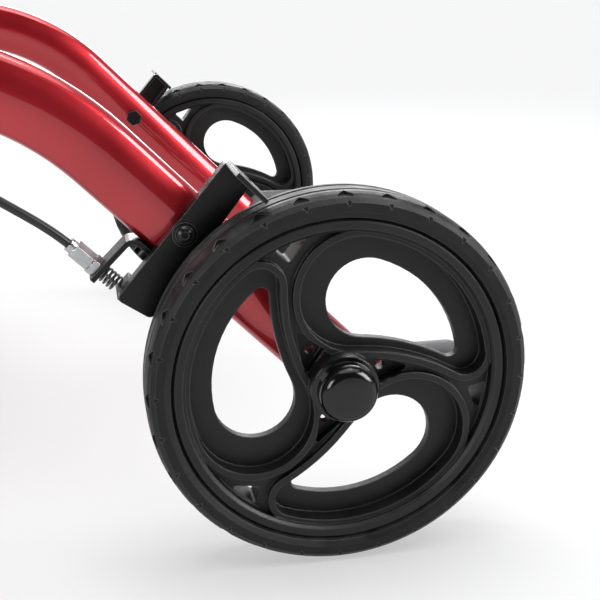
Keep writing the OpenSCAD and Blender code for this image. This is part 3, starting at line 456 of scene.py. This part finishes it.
def lathe(name, profile, place, steps=48):
    """Spins profile, given as (radius, height) from foot to top, round local Z, and sets it down at place."""
    start_clean()
    bpy.ops.mesh.primitive_plane_add(size=0.01, location=(0, 0, 0))
    piece = bpy.context.active_object
    piece.name = name
    bpy.ops.object.mode_set(mode="EDIT")
    bpy.ops.mesh.select_all(action="SELECT")
    bpy.ops.mesh.merge(type="CENTER")
    at = Vector((profile[0][0], 0, profile[0][1]))
    bpy.ops.transform.translate(value=at)
    for radius, height in profile[1:]:
        target = Vector((radius, 0, height))
        bpy.ops.mesh.extrude_region_move(TRANSFORM_OT_translate={"value": target - at})
        at = target
    bpy.ops.mesh.select_all(action="SELECT")
    bpy.ops.mesh.spin(steps=steps, angle=math.tau, center=(0, 0, 0), axis=(0, 0, 1))
    bpy.ops.mesh.select_all(action="SELECT")
    bpy.ops.mesh.remove_doubles(threshold=0.00002)
    bpy.ops.mesh.normals_make_consistent(inside=False)
    bpy.ops.object.mode_set(mode="OBJECT")
    piece.data.transform(place)
    bpy.ops.object.shade_smooth_by_angle(angle=math.radians(35))
    return piece


def wear(piece, slot_name):
    """Gives a new piece one of the record's finishes."""
    piece.data.materials.clear()
    piece.data.materials.append(finishes[slot_name])
    return piece


# %% A tube along a smooth curve
def cable(name, points, radius, side=1, sides=4, smoothness=6, kind="BEZIER"):
    """A closed round tube through points (millimetres); side -1 mirrors it to the right."""
    start_clean()
    data = bpy.data.curves.new(name, "CURVE")
    data.dimensions = "3D"
    data.bevel_depth = radius * MM
    data.bevel_resolution = sides
    data.resolution_u = smoothness
    data.use_fill_caps = True
    line = data.splines.new(kind)
    knots = line.bezier_points if kind == "BEZIER" else line.points
    knots.add(len(points) - 1)
    for knot, (x, y, z) in zip(knots, points):
        where = (x * MM, side * y * MM, z * MM)
        if kind == "BEZIER":
            knot.co = where
            knot.handle_left_type = knot.handle_right_type = "AUTO"
        else:
            knot.co = (*where, 1)
    piece = bpy.data.objects.new(name, data)
    bpy.context.scene.collection.objects.link(piece)
    bpy.context.view_layer.objects.active = piece
    piece.select_set(True)
    bpy.ops.object.convert(target="MESH")
    piece = bpy.context.active_object
    bpy.ops.object.mode_set(mode="EDIT")
    bpy.ops.mesh.select_all(action="SELECT")
    bpy.ops.mesh.remove_doubles(threshold=0.00001)
    bpy.ops.mesh.normals_make_consistent(inside=False)
    bpy.ops.object.mode_set(mode="OBJECT")
    bpy.ops.object.shade_smooth_by_angle(angle=math.radians(40))
    return piece


# %% [markdown]
# ## Brake cables
# Each cable runs from its lever in an arc to the column, past the folding hinge, down to the rail and back
# along it to the brake. Clips and rings hold it all the way, so it is no loose cord, but it must still give
# at three joints. So it is made in four stretches, split at those joints, and the last is fixed to the frame.

# %% Run the cables
CABLE_RADIUS = 2.5
UPPER_ROUTE = (
    (316.53, 113.96, 911), (318.35, 106.68, 911), (321.9, 93.5, 911.4), (338, 74, 914), (360, 58, 902),
    (380, 46, 872), (391, 38, 830), (391, 32, 780), (380, 28, 732), (362, 26, 690), (338, 25, 655),
    (324, 25, 637), (321, 25, 628), (320.8, 25, 626),
)
HINGE_ROUTE = (
    (320.8, 25, 627), (320, 25, 600), (316, 28, 550), (308, 33, 490), (301, 36, 440), (294, 34, 400),
    (284, 25, 366), (281, 22, 349), (280.8, 21.8, 347),
)
STEM_ROUTE = (
    (280.8, 21.8, 348), (280.8, 21.9, 336), (275, 23, 319), (263, 26, 302), (250, 31, 285), (238, 38, 267),
    (228.7, 47.3, 256.6), (227.6, 48.4, 255.8),
)
FRAME_ROUTE = (
    (228, 48, 256), (200, 80, 252), (165, 115, 249), (117, 163.5, 247), (73, 193, 243), (45, 201, 240.5),
    (14, 205, 240.5), (-30, 205, 240), (-62, 206, 236), (-92, 211, 220), (-118, 216, 203), (-140, 217, 189),
    (-158, 217, 176.5), (-170.6, 217, 165.8),
)
# Each stretch: its CAD node, its route, its two bodies, and the heights in metres between which the real
# cable bends; the loop doesn't read the heights
STRETCHES = (
    ("cables_upper", UPPER_ROUTE, "column", "bar", 0.66, 0.9),
    ("cables_hinge", HINGE_ROUTE, "stem", "column", 0.385, 0.51),
    ("cables_stem", STEM_ROUTE, "frame", "stem", 0.262, 0.344),
    ("cables_frame", FRAME_ROUTE, "frame", None, 0, 0),
)
for node_name, route, lower_body, upper_body, low, high in STRETCHES:
    for side_name, side in SIDES.items():
        piece = wear(cable(f"{node_name}_{side_name}", route, CABLE_RADIUS, side), "cable_sleeve")
        if upper_body:
            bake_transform(piece)
        else:
            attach(piece, lower_body)
        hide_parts(node_name)
        print(piece.name, len(piece.data.polygons), "faces")

# %% [markdown]
# ## Return springs
# A short dark spring holds each brake arm off its tyre, and shortens a little as the arm swings. It is
# wound from the arm's lug to the strap it leans on, and a bare wire runs through it from the arm past the
# strap.

# %% Places measured along the sloped rail, in millimetres
RAIL_SLOPE = math.radians(45)
AXLE = Vector((-300.0, 217.0, 100.0))
UP_RAIL = Vector((math.cos(RAIL_SLOPE), 0, math.sin(RAIL_SLOPE)))
OFF_RAIL = Vector((-math.sin(RAIL_SLOPE), 0, math.cos(RAIL_SLOPE)))
CABLE_DROP = -45.0
STRAP_FACE = 120.2
LUG_FACE = 108.0


def by_rail(along, sideways, off):
    """A point by its distance up the rail from the axle, outwards from it and square to it."""
    return AXLE + along * UP_RAIL + Vector((0, sideways, 0)) + off * OFF_RAIL


def in_metres(point, side):
    """A point on the left side, or its mirror image on the right, in metres."""
    return (point.x * MM, side * point.y * MM, point.z * MM)


# %% Wind the springs, and thread the bare wires through them
COIL_RADIUS = 4.2
COIL_WIRE = 0.65
TURNS = 4.5
STEPS_PER_TURN = 24
LUG_ROOM = 0.4
STRAP_ROOM = 0.2
WIRE_RADIUS = 0.8
# The wire starts inside its nipple, passes the arm's lug and the strap, and ends inside the adjuster
WIRE_STATIONS = (101.5, LUG_FACE, 114, STRAP_FACE, 128, 136)
first = LUG_FACE + COIL_WIRE + LUG_ROOM
last = STRAP_FACE - COIL_WIRE - STRAP_ROOM
coil = []
for step in range(int(TURNS * STEPS_PER_TURN) + 1):
    share = step / (TURNS * STEPS_PER_TURN)
    angle = math.tau * TURNS * share
    coil.append(by_rail(first + (last - first) * share, COIL_RADIUS * math.cos(angle),
                        CABLE_DROP + COIL_RADIUS * math.sin(angle)))
for side_name, side in SIDES.items():
    spring = cable(f"return_spring_{side_name}", coil, COIL_WIRE, side, sides=3, kind="POLY")
    wear(spring, "spring_steel")
    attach(spring, "frame")
    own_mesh(spring)
    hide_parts(f"brake_spring_{side_name}")
    wire_points = [by_rail(along, 0, CABLE_DROP) for along in WIRE_STATIONS]
    wire = wear(cable(f"brake_wire_{side_name}", wire_points, WIRE_RADIUS, side), "zinc_steel")
    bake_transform(wire)
    print(spring.name, len(spring.data.polygons), "faces")

# %% Turn the wire's end nipples
NIPPLE_FOOT = 99.5
NIPPLE_RADIUS = 0.0026
NIPPLE_LENGTH = 0.005
NIPPLE_FACE = 0.0019
NIPPLE_BEVEL = 0.0006
nipple_profile = [(0, 0), (NIPPLE_FACE, 0), (NIPPLE_RADIUS, NIPPLE_BEVEL),
                  (NIPPLE_RADIUS, NIPPLE_LENGTH - NIPPLE_BEVEL), (NIPPLE_FACE, NIPPLE_LENGTH),
                  (0, NIPPLE_LENGTH)]
up_turn = Vector((0, 0, 1)).rotation_difference(UP_RAIL).to_matrix().to_4x4()
for side_name, side in SIDES.items():
    foot = in_metres(by_rail(NIPPLE_FOOT, 0, CABLE_DROP), side)
    nipple = lathe(f"wire_nipple_{side_name}", nipple_profile, Matrix.Translation(foot) @ up_turn, steps=24)
    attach(wear(nipple, "zinc_steel"), f"arm_{side_name}")
    print(nipple.name, len(nipple.data.polygons), "faces")

# %% [markdown]
# ## Grips
# A rubber grip swells a little in the palm and has ribs that hold the hand. The profile is a soft wave with
# a row of fine ribs, ending in a round cap, and the lathe turns it. It covers the plain CAD grips.

# %% Draw the grip's profile
GRIP_RADIUS = 0.0165
GRIP_BORE = 0.01115
GRIP_LENGTH = 0.118
PALM_WAIST = 0.0015
PALM_SWELL = 0.0012
RIBS = 22
FIRST_RIB = 0.008
RIB_PITCH = 0.0046
# One rib: how far along the grip, and how far above the palm
RIB_SHAPE = ((0.0, -0.0005), (0.0008, 0.0001), (0.0024, 0.0001), (0.0032, -0.0005))
# The flange that stops the hand, and the round end: radius past the grip's own, and height
FLANGE = ((0.002, 0.0), (0.0022, 0.001), (0.0018, 0.0035), (-0.0006, 0.0055))
ROUND_END = ((-0.0004, 0.1115), (0.0, 0.1125), (0.0, 0.1155), (-0.001, 0.1172), (-0.003, GRIP_LENGTH))
profile = [(GRIP_BORE, 0.0)]
profile += [(GRIP_RADIUS + extra, height) for extra, height in FLANGE]
for rib in range(RIBS):
    base = FIRST_RIB + rib * RIB_PITCH
    palm = GRIP_RADIUS - PALM_WAIST + PALM_SWELL * math.sin(math.pi * rib / RIBS)
    profile += [(palm + rise, base + offset) for offset, rise in RIB_SHAPE]
profile += [(GRIP_RADIUS + extra, height) for extra, height in ROUND_END]
profile.append((0, GRIP_LENGTH))
print("grip profile", len(profile), "points")

# %% Turn the grips on the bar's two ends
BAR_X = 300.0
BAR_HEIGHT = 912.0
BAR_TURN = math.radians(14)
BAR_MID = 70.0
BAR_BEND = 90.0
BAR_HALF = 260.0
bar_knee = Vector((BAR_X - BAR_BEND * (1 - math.cos(BAR_TURN)), BAR_MID + BAR_BEND * math.sin(BAR_TURN),
                   BAR_HEIGHT))
bar_straight = (BAR_HALF - bar_knee.y) / math.cos(BAR_TURN)
for side_name, side in SIDES.items():
    outwards = Vector((-math.sin(BAR_TURN), side * math.cos(BAR_TURN), 0))
    root = Vector(in_metres(bar_knee, side))
    root += outwards * (bar_straight * MM - GRIP_LENGTH)
    turn_out = Vector((0, 0, 1)).rotation_difference(outwards).to_matrix().to_4x4()
    grip = lathe(f"grip_{side_name}", profile, Matrix.Translation(root) @ turn_out, steps=64)
    wear(grip, "grip_rubber")
    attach(grip, "bar")
    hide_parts("grips")
    print(grip.name, len(grip.data.polygons), "faces")

# %% [markdown]
# ## The knee cushion
# A real one is foam in a sewn leatherette cover: crowned on top, pulled in at the seams and flat beneath,
# where it sits on its tray. Cloth simulation gives that swell. A rounded block, a little smaller than the
# cushion, is remeshed and blown up with pressure, the moves are capped, and the underside is pressed flat.

# %% Start from a rounded block
pad_low, pad_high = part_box("knee_pad")
pad_middle = (pad_low + pad_high) / 2
pad_size = pad_high - pad_low
INSET = 0.005
CORNER_RADIUS = 0.034
CORNER_STEPS = 8
EDGE_RADIUS = 0.007
VOXEL = 0.005
start_clean()
bpy.ops.mesh.primitive_cube_add(size=1, location=pad_middle)
cushion = bpy.context.active_object
cushion.name = "knee_cushion"
cushion.scale = (pad_size.x - 2 * INSET, pad_size.y - 2 * INSET, pad_size.z - INSET)
bpy.ops.object.transform_apply(location=True, rotation=False, scale=True)
bpy.ops.object.mode_set(mode="EDIT")
bpy.ops.mesh.select_all(action="DESELECT")
bpy.ops.object.mode_set(mode="OBJECT")
for line in cushion.data.edges:
    ends = [cushion.data.vertices[i].co for i in line.vertices]
    line.select = abs(ends[0].z - ends[1].z) > pad_size.z / 2
bpy.ops.object.mode_set(mode="EDIT")
bpy.ops.mesh.select_mode(type="EDGE")
bpy.ops.mesh.bevel(offset=CORNER_RADIUS, segments=CORNER_STEPS)
bpy.ops.mesh.select_all(action="DESELECT")
bpy.ops.object.mode_set(mode="OBJECT")
softened = cushion.modifiers.new("soft_edge", "BEVEL")
softened.width = EDGE_RADIUS
softened.segments = 3
softened.limit_method = "ANGLE"
softened.angle_limit = math.radians(60)
bpy.ops.object.modifier_apply(modifier=softened.name)
remesh = cushion.modifiers.new("remesh", "REMESH")
remesh.mode = "VOXEL"
remesh.voxel_size = VOXEL
bpy.ops.object.modifier_apply(modifier=remesh.name)
print("cushion", len(cushion.data.polygons), "faces before the cloth")

# %% Blow it up as cloth, and keep each point's move small
LAST_FRAME = 20
PRESSURE = 4.0
MOST = 0.014
before = [point.co.copy() for point in cushion.data.vertices]
cloth = cushion.modifiers.new("cloth", "CLOTH")
cloth.settings.use_pressure = True
cloth.settings.uniform_pressure_force = PRESSURE
cloth.settings.effector_weights.gravity = 0.0
for step in range(1, LAST_FRAME + 1):
    bpy.context.scene.frame_set(step)
start_clean()
cushion.select_set(True)
bpy.context.view_layer.objects.active = cushion
bpy.ops.object.modifier_apply(modifier=cloth.name)
bpy.context.scene.frame_set(1)
for point, was in zip(cushion.data.vertices, before):
    move = point.co - was
    if move.length > MOST:
        move *= MOST / move.length
    point.co = was + move

# %% Pull in the seams and press the underside flat
SEAM_TOP = pad_high.z - 0.013
SEAM_LOW = pad_low.z + 0.01
SEAM_WIDTH = 0.0045
SEAM_PULL = 0.0025
SIDES_FROM = 0.8
CROWN_RISE = 0.004
PROUD = 0.002
for point in cushion.data.vertices:
    away = Vector((point.co.x - pad_middle.x, point.co.y - pad_middle.y, 0))
    edge_share = max(abs(away.x) / (pad_size.x / 2), abs(away.y) / (pad_size.y / 2))
    for seam in (SEAM_TOP, SEAM_LOW):
        pull = math.exp(-((point.co.z - seam) / SEAM_WIDTH) ** 2)
        if edge_share > SIDES_FROM:
            point.co -= away.normalized() * SEAM_PULL * pull
    crown = max(0.0, 1 - edge_share ** 3)
    if point.co.z > pad_middle.z:
        point.co.z += CROWN_RISE * crown
    point.co.z = min(max(point.co.z, pad_low.z), pad_high.z + CROWN_RISE)
    for axis in (0, 1):
        point.co[axis] = min(max(point.co[axis], pad_low[axis] - PROUD), pad_high[axis] + PROUD)
start_clean()
cushion.select_set(True)
bpy.context.view_layer.objects.active = cushion
smooth = cushion.modifiers.new("even_out", "SMOOTH")
smooth.factor = 0.4
smooth.iterations = 2
bpy.ops.object.modifier_apply(modifier=smooth.name)
finer = cushion.modifiers.new("finer", "SUBSURF")
finer.levels = 1
finer.render_levels = 1
bpy.ops.object.modifier_apply(modifier=finer.name)
bpy.ops.object.shade_smooth()
wear(cushion, "cushion")
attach(cushion, "knee")
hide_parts("knee_pad")
print("cushion", len(cushion.data.polygons), "faces, from", pad_low, "to", pad_high)

# %% [markdown]
# ## Piping
# A cord covered in the same leatherette is sewn into each seam. A cut through the cushion at the seam's
# height gives the exact line that it follows, so a copy is bisected and only the cut is kept.

# %% Sew the piping into both seams
PIPING_RADIUS = 0.0019
KEEP_ONE_IN = 3


def seam_line(height):
    """Points of the cushion's outline at a height, in order round it; one in every few is enough."""
    start_clean()
    cushion.select_set(True)
    bpy.context.view_layer.objects.active = cushion
    bpy.ops.object.mode_set(mode="OBJECT")
    shell = bmesh.new()
    shell.from_mesh(cushion.data)
    cut = bmesh.ops.bisect_plane(shell, geom=shell.verts[:] + shell.edges[:] + shell.faces[:],
                                 plane_co=(0, 0, height), plane_no=(0, 0, 1))
    found = [item.co.copy() for item in cut["geom_cut"] if isinstance(item, bmesh.types.BMVert)]
    shell.free()
    found.sort(key=lambda point: math.atan2(point.y - pad_middle.y, point.x - pad_middle.x))
    return found[::KEEP_ONE_IN]


for seam_name, height in (("top", SEAM_TOP), ("low", SEAM_LOW)):
    outline = seam_line(height)
    data = bpy.data.curves.new(f"piping_{seam_name}", "CURVE")
    data.dimensions = "3D"
    data.bevel_depth = PIPING_RADIUS
    data.bevel_resolution = 3
    data.resolution_u = 3
    line = data.splines.new("NURBS")
    line.points.add(len(outline) - 1)
    for knot, point in zip(line.points, outline):
        knot.co = (*point, 1)
    line.use_cyclic_u = True
    line.order_u = 4
    piping = bpy.data.objects.new(data.name, data)
    bpy.context.scene.collection.objects.link(piping)
    start_clean()
    piping.select_set(True)
    bpy.context.view_layer.objects.active = piping
    bpy.ops.object.convert(target="MESH")
    piping = bpy.context.active_object
    bpy.ops.object.shade_smooth()
    wear(piping, "cushion")
    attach(piping, "knee")
    print(piping.name, len(piping.data.polygons), "faces")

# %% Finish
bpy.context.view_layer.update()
start_clean()
